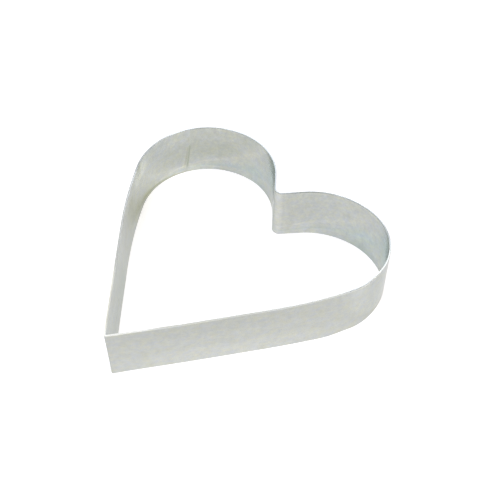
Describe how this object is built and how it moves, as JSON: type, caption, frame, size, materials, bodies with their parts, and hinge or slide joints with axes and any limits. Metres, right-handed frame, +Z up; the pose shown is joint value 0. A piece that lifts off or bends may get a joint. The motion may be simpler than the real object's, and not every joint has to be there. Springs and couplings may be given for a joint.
{
  "type": "heart cake ring",
  "caption": "Open heart-shaped ring of thin satin steel strip, stood on a tray or board to bake, cut or mould a heart-shaped cake inside it.",
  "frame": {"origin": "centre of the ring's bounding box in plan, on the lower rim", "axes": "+Z up across the strip's height, the heart's tip towards -Y and its cleft towards +Y"},
  "size_m": [0.205, 0.2024, 0.045],
  "materials": {
    "heart_band": "satin mill finish, lightly brushed along the strip",
    "seam_weld": "dressed weld with a faint straw heat tint"
  },
  "bodies": {
    "root": {"heart_band": "heart_band", "seam_weld": "seam_weld"}
  },
  "joints": []
}
